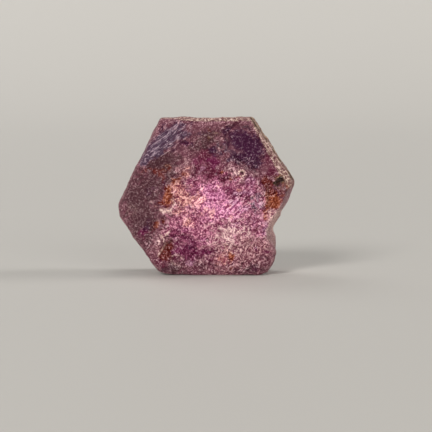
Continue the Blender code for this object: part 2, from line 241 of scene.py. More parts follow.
ruby = {
    "voxel": 0.215,  # mm, the size of the mesh's faces
    "firstSmooth": 8,  # passes of smoothing over the whole mesh
    # places on the outline that are worn round: x, z, reach in mm, passes
    "worn": ((14.6, 5.0, 2.0, 120), (12.4, 0.4, 1.4, 40), (13.6, 9.0, 1.2, 20)),
    "wornAbove": 0.8,  # mm above the floor where the wear has its full strength
    # places on the outline that stand out a little further: x, z, reach, height in mm
    "swells": ((14.2, 7.0, 1.1, 0.35), (13.4, 2.8, 1.4, 0.2)),
    # how far a normal points forward or back: where a basal face starts, and where it is full
    "basal": (0.55, 0.85),
    "faceDepth": 1.2,  # mm behind the front, or before the back, where the face's patches start to fade
    "patchReach": 3.0,  # and about where they end, mm further in
    "patchEdge": 0.6,  # how soft the edges of the ground's patches are
    "drift": ((2.2, 0.3), (0.8, 0.3)),  # how the patches' outlines wander: wavelength and reach, in mm
    "waver": 0.3,  # the share of this drift that raised lines and edges of crust take
    "foot": 0.25,  # mm above the floor up to which the relief fades out
    # how rough plain ground is, what rough ground adds and smooth ground takes, the least, the most
    "rough": (0.45, 0.75, 0.5, 0.1, 1.2),
    "facets": ((3.0, 0.03), (1.5, 0.08), (0.75, 0.2)),  # cleavage facets: size in mm, how much they lean
    "facetsOnSides": 0.5,  # how high they are there, as a share
    "grain": 0.05,  # mm, the height of the grain on the roughest ground
    "grainWaves": ((0.42, 5), (0.9, 6)),  # wavelength in mm, seed
    "striae": 0.07,  # mm, the height of the fine parting steps
    "striaeTurn": 36,  # degrees
    "striaeDraw": (1.0, 0.12, 0.5),  # they are long along the turn and deep into the face
    "striaeWaves": ((0.75, 1.0, 7), (0.4, 0.6, 8)),  # wavelength in mm, weight, seed
    "striaeShares": (0.2, 1.6),  # on plain ground, and what striate ground adds
    "growth": 0.07,  # mm, the depth of the fine growth lines round the sides
    "growthDraw": (1.0, 0.05, 0.05),
    "growthWaves": ((2.2, 1.6, 11), (0.8, 1.0, 9), (0.35, 0.6, 10)),
    # raised lines on the front face: height and half-width in mm, then x and z along them
    "ridges": (
        (0.16, 0.32, ((-9.0, 13.2), (-8.2, 12.9), (-7.4, 12.9), (-6.8, 13.5))),
        (0.10, 0.25, ((-6.8, 13.5), (-6.4, 14.6), (-6.6, 15.4))),
        (0.12, 0.22, ((-9.3, 7.9), (-8.0, 8.2), (-7.3, 8.9))),
        (0.10, 0.20, ((-8.6, 7.7), (-8.2, 6.2), (-9.0, 4.9), (-9.6, 4.0))),
        (0.07, 0.18, ((-6.9, 3.6), (-6.3, 4.1), (-5.4, 4.0), (-4.9, 3.3))),
        (0.07, 0.18, ((-6.9, 3.0), (-6.4, 2.2), (-5.8, 2.4))),
    ),
    "ridgePale": 0.18,  # mm, a line this high gets the full painted highlight
    # round pits: x, z, radius, depth, height of the rim
    "pits": (
        (7.3, 20.7, 0.36, 0.24, 0.12),
        (12.6, 6.1, 0.5, 0.12, 0.03),
        (-15.0, 13.0, 0.6, 0.10, 0.01),
    ),
    "pitSteep": 1.6,  # how steep their sides are
    "rim": (1.4, 0.55),  # where it stands and how wide it is, in radii
    "rimPale": 0.1,  # mm, a rim this high gets the full painted highlight
    "onFront": (1.0, 3.0),  # how deep behind the front the lines and pits start to fade, and end
    # fine and broad hollows, where shade is painted: passes of smoothing after the ones before, and the
    # range of depth in mm
    "hollows": ((2, 0.06), (22, 0.5)),
    "topCrust": (30.7, 31.3),  # heights where the crust on the top starts, and where it is full
    "topLeft": (-7.0, -3.0, 0.4),  # it starts this much higher left of the first x, fading to the second
    # the upper right edge: mm in from it is the first, less x times the second and z times the third
    "edge": (25.5, 0.825, 0.565),
    "edgeCrust": (0.75, 9.5, 0.22, 0.6, 1.7),  # its width, at this x, gain for a mm of x, least, most
    "edgeSoft": 0.3,  # mm, how soft its inner edge is
    "scabs": (4.0, 12, 0.5, 0.7),  # patches of crust on the sides: size in mm, seed, edge, strength
    "scabsFrom": (0.6, 2.5),  # how deep behind the front they start, and where they are full
    "nearFront": (0.8, 3.0, 1.5),  # the strip behind the front edges: full, its end, how far it wanders
    "notch": (14.0, 10.2, 2.6, 3.4, 0, 0.9),  # the broken flank at the right, pale and lit further with painted light as it faces away from the key, given as a patch
    "mauve": (132, 86, 96),  # under all the other colours
    "crust": (166, 136, 123),
    "flank": (176, 136, 138),  # the worn prism faces
    "parting": (74, 60, 40),  # the dark line just inside the upper right edge
    "fringe": (156, 136, 106),  # the strip outside this line
    "crestHighlight": (226, 188, 176),  # painted highlight on raised lines and rims of pits, and the pale notch
    "highlightWhite": (250, 216, 220),  # painted highlight: the near-white of the brightest crumbs
    "gel": (0.93, 0.81, 0.86),  # deepens every colour a little
    "shade": (0.38, 0.13, 0.28),  # painted shade: what the shade in a crevice does to the colour round it
    "light": (2.0, 2.3, 2.1),  # painted highlight: what light on a raised crumb does to its colour
    "ragged": 3.0,  # how much the colours break up inside a patch
    "sparkle": 1.95,  # how far the grain's light and dark go, painted highlight and painted shade among them
    "bump": 0.1,  # mm, the height of the finest crumbs
    # the grain of the colours: wavelength in mm, detail, how much it bends
    "grains": {
        "fine": (0.22, 1.0, 0.4),
        "middle": (1.0, 3.0, 0.8),
        "coarse": (2.2, 2.0, 0.5),
        "ragged": (1.1, 4.0, 0.8),
        "streaks": (0.32, 2.0, 0.7),
        "edgeLines": (0.3, 2.0, 0.3),
        "growthLines": (0.45, 2.0, 0.2),
    },
    "grainReach": 0.2,  # how far from its mean a noise has to be to count in full
    # how grain is turned and drawn out along the striae, along the upper right edge and round the sides
    "streakTurn": -40,  # degrees
    "streakDraw": (4.5, 1.0, 1.0),
    "edgeTurn": 55.6,
    "edgeDraw": (12.0, 1.0, 1.0),
    "growthLineDraw": (0.06, 1.0, 0.06),
    # crumbs: size in mm, then a shift that keeps each kind apart from the others
    "crumb": (0.75, (3.1, 0.7, 5.9)),
    "chip": (0.42, (0.4, 8.3, 2.2)),
    "speck": (0.26, (5.2, 1.3, 6.2)),
    # short strokes: width, and size of the ground on which they lean the same way, in mm, then a shift
    "strokes": ((0.27, 1.3, (4.4, 0.0, 6.7)), (0.2, 0.8, (7.0, 0.0, 1.0))),
    "strokeBend": 0.2,
    "strokeDraw": (0.28, 1.0, 1.0),
    # what each kind of grain counts for in the light and dark, which are partly painted highlight and
    # painted shade
    "weights": {
        "fine": 0.28,
        # the fine hollows of the mesh, darkened as painted shade
        "hollow": 0.3,
        "crumb": 0.15,
        "chip": 0.25,
        "speck": 0.36,
        "stroke": 0.5,
        "striate": 0.5,  # what striate ground takes from all of these
        "streaks": (0.1, 1.2),  # on basal faces, and on striate ground
        "edgeLines": 0.5,
        "growthLines": 0.3,
    },
    # shares: the least, and what the grain adds
    "shares": {
        "crust": (0.35, 0.3),
        "flank": (0.2, 0.5),
        "notch": (0.2, 0.6),
        "fringe": (0.2, 0.7),
        "parting": (0.6, 0.4),
        "rough": (0.22, 0.74),  # how strong light and dark are, by the roughness of the ground
        "coarse": (0.75, 0.5),  # by the coarse grain
        "basal": (0.8, 0.2),  # and by the kind of face
    },
    # shares that are the same everywhere
    "crustNearFront": 0.3,  # what the strip behind the front edges adds to the crust
    "flankNearFront": 0.5,  # and takes from the flank's colour
    "crestHighlightShare": 0.75,
    # how much near-white goes into the painted highlight, and how much more the brightest crumbs take
    "highlightWhiteInPale": 0.09,
    "highlightWhiteShare": 0.5,
    "hollowShade": 0.3,
    "sideShade": 0.25,
    "glintShare": 0.4,
    # where a level starts to count, and where it counts in full
    "ranges": {
        "patch": (0.06, 0.94),
        "crust": (0.25, 0.75),
        "light": (0.05, 0.6),
        "highlightWhite": (0.45, 1.1),
        "shade": (0.0, 0.55),
        "hollow": (0.55, 1.0),
        "sides": (0.5, 1.0),
        "glint": (0.7, 0.95),
        "fringe": (-0.1, 0.1),  # mm
        "parting": (0.0, 0.12),  # mm
    },
    "crustWander": 0.4,  # how far the middle grain moves the edge of the crust
    "rimWander": 0.15,  # mm, how far the lines along the edge move the parting
    "partingAt": 0.2,  # mm in from the edge
    "fringeTo": 0.12,
    "roughness": 0.5,
    "glintRoughness": 0.25,  # what a glint takes from it
    "crustRoughness": 0.15,  # what crust adds
    "coatRoughness": 0.3,
    "specular": 0.1,
    "bumps": (0.6, 0.9, 0.45),  # heights of the grain, the crumbs and the chips, times that of bump
}

# Patches of the front face: x and z of the middle, half-width and half-height in mm, turn in degrees
# and strength.
ruby["ground"] = {
    "rough": (
        (2.5, 14.5, 8.5, 5.0, 20, 1.0), (7.5, 6.5, 6.0, 4.5, 0, 1.0), (6.0, 21.5, 4.0, 2.5, 0, 0.8),
        (-4.5, 17.0, 3.0, 5.0, -20, 0.8), (12.0, 14.0, 3.0, 6.0, 0, 0.7),
        (-9.5, 6.5, 3.0, 2.5, 30, 0.4), (13.2, 25.0, 6.4, 1.2, -57, 0.6),
        (-1.0, 9.5, 6.0, 3.0, 0, 0.9), (0.0, 31.2, 9.0, 0.8, 0, 0.8), (0.0, 3.5, 8.0, 3.0, 0, 0.5),
    ),
    "smooth": (
        (8.2, 26.2, 3.6, 2.4, -30, 0.75), (12.2, 22.0, 1.2, 2.0, 30, 0.8),
        (1.3, 22.5, 1.8, 2.6, 0, 0.5), (13.0, 5.8, 1.0, 1.6, 0, 0.6), (14.6, 18.9, 1.1, 0.8, 0, 0.6),
        (-13.5, 13.5, 4.0, 6.0, 0, 0.3),
    ),
    "striate": ((-8.4, 26.8, 5.8, 2.5, 38, 1.0), (6.4, 15.0, 3.8, 2.0, 32, 0.7)),
}

# The colours, in the order in which they lie over each other. Each has its paint, from 0 to 255, its
# strength, how soft its edges are, and its patches, given as above, on the front and on the back.
ruby["tints"] = {
    "dawn": {
        "paint": (166, 118, 122),
        "strength": 0.9,
        "soft": 0.95,
        "front": (
            (8.0, 6.4, 4.6, 4.2, 0, 1.0), (11.4, 11.0, 2.4, 3.4, 0, 0.9), (3.4, 3.9, 2.2, 1.8, 0, 0.9),
            (3.2, 1.1, 3.2, 0.8, 0, 0.6), (9.6, 15.6, 1.8, 3.4, 0, 0.7),
            (-4.6, 14.0, 3.0, 4.0, 0, 0.8), (-9.6, 6.0, 1.8, 1.8, 30, 0.5),
            (13.6, 25.0, 6.0, 0.8, -57, 0.5), (-4.6, 20.8, 1.4, 2.0, 0, 0.6),
            (3.6, 8.4, 5.0, 3.4, 0, 0.6),
        ),
        "back": ((6.0, 8.0, 4.0, 3.0, 0, 0.8), (-6.0, 22.0, 3.0, 3.0, 0, 0.5)),
    },
    "rose": {
        "paint": (188, 116, 142),
        "strength": 0.95,
        "soft": 0.95,
        "front": (
            (2.2, 13.6, 7.5, 5.6, 10, 1.0), (-3.0, 9.8, 4.5, 2.6, 0, 0.9),
            (0.6, 7.4, 4.2, 1.6, 0, 0.85), (2.0, 18.6, 4.2, 1.6, 0, 0.6),
            (10.8, 11.0, 2.2, 3.6, 0, 0.6), (3.4, 3.0, 2.4, 1.2, 0, 0.4),
        ),
        "back": ((2.4, 16.4, 5.0, 4.0, -20, 0.9), (-2.0, 6.0, 4.0, 2.4, 0, 0.7)),
    },
    "dusk": {
        "paint": (94, 62, 67),
        "strength": 0.95,
        "soft": 0.9,
        "front": (
            (-14.0, 15.0, 3.4, 6.0, 8, 1.0), (-11.2, 12.4, 2.6, 2.4, 0, 0.45),
            (-12.2, 6.6, 1.6, 1.2, -40, 0.6), (-10.4, 18.4, 2.0, 2.4, 0, 0.8),
            (-13.2, 9.6, 2.0, 2.6, -40, 0.8), (-7.6, 24.0, 3.0, 1.4, 20, 0.7),
            (-7.4, 1.5, 2.2, 1.0, 0, 0.6), (8.9, 1.4, 2.2, 0.9, 0, 0.8),
            (16.7, 17.0, 0.9, 2.2, 20, 0.7), (0.6, 28.4, 2.4, 1.5, 0, 0.8),
            (-1.4, 26.4, 1.8, 1.0, 0, 0.5), (12.4, 3.6, 1.4, 2.0, -30, 0.2),
            (1.0, 0.7, 9.5, 1.0, 0, 0.25), (-6.6, 1.3, 1.6, 1.2, 0, 0.6),
            (0.4, 2.3, 7.0, 0.5, 0, 0.35), (3.0, 25.4, 1.5, 1.1, 0, 0.5),
            (-9.2, 22.0, 3.2, 2.2, 20, 0.95), (-0.4, 25.6, 2.6, 1.2, 0, 0.6),
            (-7.0, 20.0, 1.6, 2.0, 0, 0.5),
        ),
        "back": (
            (-12.6, 14.0, 3.6, 5.6, 0, 0.8), (7.4, 26.2, 4.0, 3.4, 0, 0.5),
            (11.6, 9.0, 2.6, 4.0, 0, 0.6),
        ),
    },
    # grey-lavender ground; on the striate patch at the upper left its greyness is partly a painted sheen
    # of light from above
    "slateAndSheen": {
        "paint": (98, 83, 103),
        "strength": 0.88,
        "soft": 0.75,
        "front": (
            (-8.2, 27.2, 5.0, 1.6, 38, 1.0), (-10.8, 24.8, 2.6, 1.3, 40, 0.9),
            (-12.2, 23.6, 1.4, 0.8, 40, 0.7), (-4.4, 28.2, 1.6, 0.8, 20, 0.7),
            (9.8, 22.5, 1.0, 0.9, 30, 0.8), (5.4, 24.8, 1.8, 0.6, -12, 0.4),
            (3.2, 25.4, 1.5, 1.3, 0, 0.5), (10.0, 14.6, 1.4, 2.4, 0, 0.5),
            (4.6, 23.3, 0.4, 0.5, 0, 0.6), (8.0, 29.2, 1.0, 1.0, 0, 0.4),
        ),
        "back": ((10.6, 23.6, 2.6, 4.2, 35, 0.8), (-9.6, 8.0, 3.0, 1.8, -30, 0.6)),
    },
    "salmon": {
        "paint": (212, 150, 140),
        "strength": 0.9,
        "soft": 0.8,
        "front": (
            (-5.6, 17.2, 1.3, 1.5, 10, 0.95), (-4.4, 15.6, 1.6, 1.1, 0, 0.95),
            (-3.2, 14.8, 1.3, 0.7, 0, 0.8), (-6.4, 18.1, 0.8, 0.5, 0, 0.7),
            (-1.2, 15.8, 0.9, 1.3, 20, 0.6), (-3.8, 21.0, 0.7, 1.3, -10, 0.6),
            (-4.8, 12.8, 1.5, 0.9, 0, 0.5), (-3.6, 10.8, 0.9, 1.1, -30, 0.7),
            (6.8, 17.3, 0.7, 0.4, 0, 0.8), (3.2, 3.2, 1.3, 1.0, 0, 0.8), (4.2, 5.8, 0.6, 1.0, 0, 0.7),
            (-5.4, 13.8, 1.0, 0.8, 0, 0.5), (13.0, 12.2, 0.9, 1.4, 0, 0.4),
        ),
        "back": ((-3.4, 26.6, 4.2, 1.6, 0, 0.6), (6.0, 5.2, 2.6, 1.2, 10, 0.5)),
    },
    # the paler pink middle of the crystal, brightened further with a painted glow of light through it
    "paintedGlow": {
        "paint": (226, 150, 188),
        "strength": 0.95,
        "soft": 0.8,
        "front": (
            (2.0, 15.8, 2.4, 1.2, 10, 0.95), (2.4, 13.4, 2.8, 1.3, 0, 0.95),
            (5.2, 14.3, 1.8, 1.0, 10, 1.0), (0.2, 17.4, 1.3, 1.1, 0, 0.85),
            (2.4, 18.3, 0.7, 0.8, 30, 0.8), (5.0, 12.0, 2.0, 0.8, -5, 0.9),
            (1.6, 12.0, 1.2, 0.8, 0, 0.8), (7.0, 13.2, 1.1, 0.8, 0, 0.7),
            (0.6, 11.2, 1.3, 0.5, 0, 0.5), (-0.6, 6.8, 1.1, 0.7, 0, 0.6),
            (-0.8, 13.1, 0.5, 0.3, 0, 0.6), (-3.4, 9.0, 1.2, 0.6, 0, 0.4),
        ),
        "back": ((2.4, 16.4, 3.0, 2.0, -20, 0.7), (-2.0, 6.0, 2.0, 1.2, 0, 0.5)),
    },
    "lilac": {
        "paint": (204, 154, 180),
        "strength": 0.9,
        "soft": 0.7,
        "front": (
            (8.8, 18.9, 1.1, 1.0, 0, 0.9), (8.6, 16.9, 1.6, 0.6, 10, 0.8),
            (6.1, 16.5, 0.8, 0.6, 0, 0.9), (-0.7, 21.4, 1.1, 0.7, 0, 0.6),
            (7.8, 13.6, 1.2, 0.8, 0, 0.6), (-3.2, 2.6, 1.0, 0.6, 0, 0.45),
            (10.6, 14.5, 0.8, 0.6, 0, 0.5), (10.6, 9.6, 2.6, 2.4, 0, 0.35),
            (11.9, 9.2, 0.6, 1.1, 0, 0.6), (6.1, 10.1, 1.1, 0.6, 0, 0.55),
            (5.4, 14.8, 1.6, 0.5, 20, 0.6), (-6.0, 7.4, 0.7, 0.6, 0, 0.4),
            (-10.2, 17.6, 0.7, 0.5, 0, 0.3), (-4.4, 16.6, 0.6, 0.5, 0, 0.3),
        ),
        "back": ((5.0, 20.0, 1.6, 0.8, 20, 0.7), (-6.0, 15.0, 1.0, 1.6, 0, 0.5)),
    },
    "magenta": {
        "paint": (142, 60, 98),
        "strength": 0.85,
        "soft": 0.7,
        "front": (
            (4.8, 17.6, 1.2, 1.0, 0, 1.0), (7.7, 15.7, 1.0, 0.6, 0, 0.95),
            (9.2, 18.0, 1.7, 1.2, 0, 0.75), (3.6, 10.2, 1.9, 0.5, 4, 1.0),
            (-2.2, 17.2, 0.7, 1.1, 0, 0.6), (-6.4, 8.8, 1.1, 0.8, 0, 0.75),
            (-1.6, 22.9, 1.4, 1.0, 0, 0.7), (1.0, 15.0, 0.7, 0.4, 20, 0.4),
            (-1.2, 12.4, 0.9, 0.5, 0, 0.6), (5.4, 15.6, 0.9, 0.35, 40, 0.5),
            (10.6, 9.2, 0.8, 0.9, 0, 0.5), (7.4, 11.0, 0.9, 0.6, 0, 0.6),
            (9.4, 9.7, 1.1, 0.9, 0, 0.45), (-2.8, 18.9, 1.2, 0.7, 0, 0.7),
            (1.4, 19.4, 1.6, 0.6, 0, 0.6), (-4.6, 7.9, 1.2, 0.5, 0, 0.5),
            (-1.4, 7.6, 0.7, 0.4, 0, 0.5), (12.8, 6.4, 0.8, 1.0, 0, 0.3),
        ),
        "back": (
            (4.5, 22.0, 3.4, 2.6, 0, 0.7), (-3.6, 11.8, 3.8, 2.2, 30, 0.7),
            (10.0, 6.6, 2.2, 1.6, 0, 0.5),
        ),
    },
    "wine": {
        "paint": (104, 32, 60),
        "strength": 0.95,
        "soft": 0.7,
        "front": (
            (1.0, 21.2, 1.4, 1.3, 0, 1.0), (-0.2, 24.2, 1.6, 1.1, 0, 0.95),
            (0.8, 19.7, 1.2, 0.5, 0, 0.8), (2.2, 20.6, 1.3, 0.9, -20, 0.6),
            (-1.4, 21.8, 0.9, 1.2, 0, 0.5), (3.0, 24.0, 1.6, 0.9, 20, 0.45),
            (3.5, 19.3, 1.2, 0.7, -30, 0.85), (4.6, 19.6, 0.7, 0.4, 0, 0.8),
            (-2.2, 19.9, 0.8, 1.0, 0, 0.6), (12.6, 22.9, 0.9, 2.2, 28, 0.7),
            (13.2, 20.8, 1.1, 0.9, 0, 0.6), (2.9, 9.0, 0.8, 0.5, -50, 0.5),
            (7.6, 2.4, 1.3, 0.5, 0, 0.4), (-9.0, 2.6, 0.8, 1.3, 36, 0.5),
            (10.6, 19.4, 0.6, 0.8, 0, 0.6), (-8.6, 2.9, 1.0, 0.8, 0, 0.6),
            (-12.6, 8.3, 1.2, 1.3, -35, 0.5),
        ),
        "back": ((4.5, 22.0, 2.2, 1.6, 0, 0.7), (10.0, 6.6, 1.6, 1.0, 0, 0.7)),
    },
    "berry": {
        "paint": (116, 34, 78),
        "strength": 0.95,
        "soft": 0.65,
        "front": (
            (1.6, 23.0, 1.3, 1.3, 0, 0.95), (-4.0, 7.6, 1.0, 0.6, -20, 0.9),
            (-2.8, 6.8, 1.0, 1.1, 10, 0.95), (-5.7, 6.7, 1.2, 0.6, 25, 0.85),
            (-4.4, 5.4, 1.8, 0.8, 15, 0.9), (-2.0, 4.9, 1.6, 0.8, -10, 0.95),
            (0.2, 4.7, 1.8, 0.55, 5, 0.9), (-5.7, 4.6, 1.0, 0.5, 0, 0.6),
            (-3.4, 4.2, 0.9, 0.4, 0, 0.5), (-5.3, 9.3, 0.6, 0.8, -30, 0.9),
            (-12.2, 8.8, 0.9, 0.8, -35, 0.5), (-6.4, 7.9, 0.7, 0.5, 0, 0.6),
            (2.6, 4.0, 0.8, 0.4, 0, 0.3), (9.4, 11.6, 1.1, 0.5, 0, 0.6), (8.3, 10.7, 0.8, 0.5, 0, 0.4),
            (10.0, 5.3, 0.5, 0.5, 0, 0.7), (12.1, 4.9, 0.6, 0.4, 0, 0.6),
            (-5.2, 4.2, 4.2, 1.5, 0, 0.55), (0.4, 1.1, 5.6, 1.1, 0, 0.2),
            (8.8, 1.2, 2.0, 0.9, 0, 0.25), (-3.9, 26.4, 1.3, 0.6, -10, 0.5),
            (-3.0, 3.8, 1.6, 0.8, 0, 0.7), (0.4, 7.1, 0.35, 0.5, 20, 0.9),
            (-1.2, 11.8, 0.5, 0.4, 0, 0.6), (-2.2, 12.7, 0.5, 0.3, 0, 0.6),
            (-13.2, 8.0, 0.7, 1.0, -35, 0.4), (4.8, 17.3, 0.7, 0.6, 0, 0.6),
            (7.6, 15.9, 0.7, 0.4, 0, 0.6), (3.4, 10.2, 1.4, 0.3, 4, 0.6), (0.8, 3.3, 1.0, 0.4, 0, 0.5),
        ),
        "back": ((-3.6, 11.8, 2.6, 1.2, 30, 0.8),),
    },
    "plum": {
        "paint": (68, 22, 58),
        "strength": 0.98,
        "soft": 0.7,
        "front": (
            (7.4, 27.0, 4.0, 2.3, -22, 1.0), (9.4, 25.0, 2.8, 2.0, -48, 1.0),
            (6.8, 23.5, 2.4, 1.1, -10, 0.85), (10.2, 22.4, 1.3, 1.0, -30, 0.6),
            (4.2, 29.4, 0.6, 0.9, 0, 0.7), (5.4, 28.4, 0.9, 0.7, 0, 0.6),
            (1.2, 25.4, 1.1, 0.7, 0, 0.75), (2.3, 24.3, 0.9, 0.5, 0, 0.6),
            (-3.9, 26.5, 1.4, 0.7, -10, 0.55), (-5.8, 25.6, 1.3, 0.5, 36, 0.5),
            (-7.8, 26.2, 0.6, 0.3, 0, 0.4), (-5.4, 28.4, 0.7, 0.5, 0, 0.4),
            (-8.4, 29.8, 0.5, 1.1, 0, 0.5), (-9.4, 28.7, 0.4, 0.5, 0, 0.6),
            (9.0, 21.7, 1.2, 0.8, 0, 0.6), (-12.0, 9.8, 0.8, 0.9, -30, 0.6),
            (-11.5, 10.9, 0.5, 0.5, 0, 0.6), (-8.3, 18.4, 0.45, 1.5, 8, 0.35),
            (-3.2, 5.8, 1.3, 0.6, -10, 0.35), (-7.8, 1.4, 1.4, 0.7, 0, 0.4),
            (9.3, 1.6, 1.5, 0.7, -10, 0.4), (-0.9, 28.6, 1.4, 0.5, 10, 0.4),
            (-11.6, 16.9, 0.6, 0.9, 0, 0.5),
        ),
        "back": (
            (-7.0, 20.6, 4.6, 3.2, 25, 0.9), (3.4, 8.6, 5.6, 0.9, -22, 0.8),
            (9.0, 13.2, 1.2, 1.0, 0, 0.7),
        ),
    },
    "sand": {
        "paint": (222, 186, 183),
        "strength": 0.95,
        "soft": 0.65,
        "front": (
            (4.2, 8.2, 0.6, 0.9, 20, 1.0), (5.0, 6.9, 0.8, 0.8, 0, 0.9), (5.3, 9.3, 1.3, 0.5, 0, 0.8),
            (3.4, 7.4, 1.6, 1.6, 0, 0.4), (7.9, 8.8, 1.1, 0.8, -20, 0.9),
            (4.5, 8.6, 5.0, 4.4, 0, 0.35), (6.5, 20.8, 1.2, 0.45, 10, 0.9),
            (7.4, 19.4, 0.6, 0.4, 50, 0.5), (4.9, 22.0, 0.6, 0.5, -50, 0.5),
            (4.0, 21.2, 0.8, 0.4, 0, 0.4), (-7.7, 13.0, 1.0, 0.45, 5, 1.0),
            (-6.4, 14.4, 0.3, 0.8, -10, 0.9), (-8.2, 8.0, 0.9, 0.35, 40, 0.7),
            (-9.6, 7.5, 0.7, 0.3, 0, 0.7), (-9.5, 6.0, 0.35, 1.4, -15, 0.6),
            (-5.4, 1.8, 0.5, 0.6, 0, 0.6), (-1.0, 2.8, 0.4, 0.4, 0, 0.6),
            (12.6, 12.8, 0.7, 0.7, 0, 0.6), (13.6, 10.4, 1.2, 2.2, 0, 0.65),
            (14.6, 10.6, 1.4, 2.4, 0, 1.0), (3.0, 27.6, 0.6, 0.35, 20, 0.8),
            (8.6, 6.2, 0.8, 0.3, 0, 0.5), (-9.0, 19.9, 0.7, 0.3, -20, 0.5),
            (-4.0, 23.1, 0.5, 0.6, 0, 0.4), (2.5, 25.3, 0.4, 0.5, 0, 0.5),
            (-10.8, 14.9, 0.6, 0.25, 0, 0.6), (-9.7, 10.8, 0.35, 0.6, 0, 0.5),
        ),
        "back": (
            (-2.2, 14.6, 2.0, 0.8, 30, 0.8), (6.8, 12.4, 2.2, 0.8, -25, 0.6),
            (-10.8, 15.6, 0.9, 2.2, 0, 0.5),
        ),
    },
    "blush": {
        "paint": (250, 186, 190),
        "strength": 0.95,
        "soft": 0.7,
        "front": (
            (-1.6, 12.8, 3.4, 1.8, 0, 0.3), (-0.4, 15.3, 0.8, 0.7, 40, 1.0),
            (-1.8, 14.7, 0.8, 0.7, 0, 1.0), (1.2, 12.8, 0.5, 1.0, -10, 0.9),
            (0.2, 13.5, 0.5, 0.5, 0, 0.9), (-0.8, 17.2, 0.7, 0.5, -30, 0.7),
            (-2.8, 10.2, 0.7, 0.6, 0, 0.9), (-4.2, 11.4, 0.4, 0.4, 0, 0.9),
            (5.0, 11.8, 0.8, 0.5, 0, 0.6), (-2.7, 18.1, 0.4, 0.3, 0, 0.7),
            (2.5, 18.2, 0.4, 0.5, 0, 0.5), (-6.2, 16.9, 0.6, 0.4, 30, 0.4),
            (4.4, 14.4, 0.8, 0.5, 0, 0.6),
        ),
        "back": ((1.6, 16.6, 1.0, 0.6, 0, 0.8),),
    },
    "ochre": {
        "paint": (150, 118, 78),
        "strength": 0.8,
        "soft": 0.65,
        "front": (
            (15.6, 20.3, 0.5, 0.9, 40, 0.8), (16.2, 19.5, 0.5, 0.4, 0, 0.6),
            (1.4, 28.0, 1.6, 0.5, 20, 0.5), (11.9, 28.2, 0.4, 1.4, 32, 0.9),
            (10.2, 30.7, 0.3, 1.4, 32, 0.6), (-7.8, 21.5, 1.3, 1.0, 0, 0.15),
            (14.8, 19.1, 1.6, 1.2, 30, 0.75),
        ),
        "back": ((0.0, 30.4, 6.0, 0.6, 0, 0.6), (-13.6, 9.2, 1.0, 1.6, 0, 0.5)),
    },
    "rust": {
        "paint": (156, 80, 38),
        "strength": 0.9,
        "soft": 0.7,
        "front": (
            (13.7, 15.3, 1.5, 1.3, -20, 1.0), (13.4, 14.0, 1.3, 0.7, 10, 0.85),
            (14.9, 14.9, 0.5, 0.6, 0, 0.6), (-7.6, 15.4, 1.1, 1.7, -6, 1.0),
            (-7.2, 17.0, 0.8, 0.8, 40, 0.9), (-8.0, 21.4, 1.0, 0.7, 20, 0.4),
            (-9.4, 21.0, 0.8, 0.5, 0, 0.15), (-6.4, 18.7, 0.5, 0.8, 20, 0.75),
            (5.1, 3.9, 0.55, 1.2, 0, 1.0), (12.0, 12.4, 0.5, 1.3, 5, 0.6),
            (12.2, 15.8, 0.7, 1.4, 0, 0.45), (5.3, 19.6, 0.6, 0.4, 0, 0.6),
            (3.1, 20.6, 0.4, 0.5, 0, 0.6), (16.1, 18.2, 0.8, 1.0, 0, 0.6),
            (-9.9, 10.0, 0.5, 0.8, 0, 0.8), (12.8, 16.6, 1.2, 0.9, 0, 0.7),
            (15.6, 16.2, 0.4, 0.5, 0, 0.5), (-8.0, 4.6, 0.9, 1.4, -30, 0.4),
            (-5.2, 19.4, 0.8, 0.8, 30, 0.5), (-4.4, 20.6, 0.6, 0.5, 0, 0.4),
            (6.6, 19.9, 0.5, 0.3, 0, 0.5),
        ),
        "back": (
            (-11.4, 13.0, 1.2, 2.0, 20, 0.9), (1.4, 9.6, 2.2, 0.6, -22, 0.8),
            (12.4, 18.4, 0.9, 1.5, 0, 0.6),
        ),
    },
    "umber": {
        "paint": (108, 32, 22),
        "strength": 0.95,
        "soft": 0.65,
        "front": (
            (13.5, 16.7, 0.8, 0.8, 0, 1.0), (12.9, 17.3, 0.7, 0.5, 0, 0.7),
            (15.4, 16.9, 0.4, 0.9, 0, 0.5), (5.0, 2.9, 0.4, 0.5, 0, 0.5), (4.9, 1.6, 0.4, 0.4, 0, 0.5),
            (-7.8, 17.3, 0.6, 0.6, 0, 0.7), (-8.9, 14.7, 0.8, 0.45, 0, 0.9),
            (-8.6, 11.0, 0.65, 0.55, 0, 0.95), (-7.4, 21.3, 0.5, 0.7, 0, 0.6),
            (-10.6, 9.6, 0.5, 1.1, -10, 0.7), (-9.0, 8.8, 0.6, 0.5, 0, 0.5),
            (11.9, 19.2, 0.9, 0.9, -30, 1.0), (12.6, 18.2, 0.9, 0.7, 0, 0.8),
            (-8.0, 5.2, 1.0, 1.7, -30, 0.95), (-7.8, 3.8, 1.3, 0.8, 0, 0.85),
            (-12.5, 20.9, 0.8, 0.4, 30, 0.6), (-9.3, 20.3, 1.4, 0.8, 0, 0.5),
            (-9.8, 13.8, 0.9, 0.35, -10, 0.6), (14.2, 20.1, 0.7, 0.4, 0, 0.5),
            (13.0, 18.8, 0.8, 0.4, 0, 0.7), (0.3, 29.2, 1.2, 0.5, 0, 0.3),
            (-10.8, 20.9, 1.1, 0.9, 0, 0.45), (-8.3, 18.4, 0.4, 1.4, 8, 0.5),
        ),
        "back": (
            (-9.6, 17.6, 1.4, 1.6, 0, 0.7), (5.4, 27.4, 2.0, 0.8, 0, 0.6),
            (-4.6, 3.0, 1.6, 0.9, 0, 0.6),
        ),
    },
    "moss": {
        "paint": (36, 33, 8),
        "strength": 0.97,
        "soft": 0.6,
        "front": (
            (14.3, 18.9, 0.9, 0.5, 20, 1.0), (15.0, 19.1, 0.6, 0.6, 0, 1.0),
            (14.4, 18.2, 0.6, 0.3, 0, 0.9), (13.6, 18.7, 0.5, 0.3, 0, 0.8),
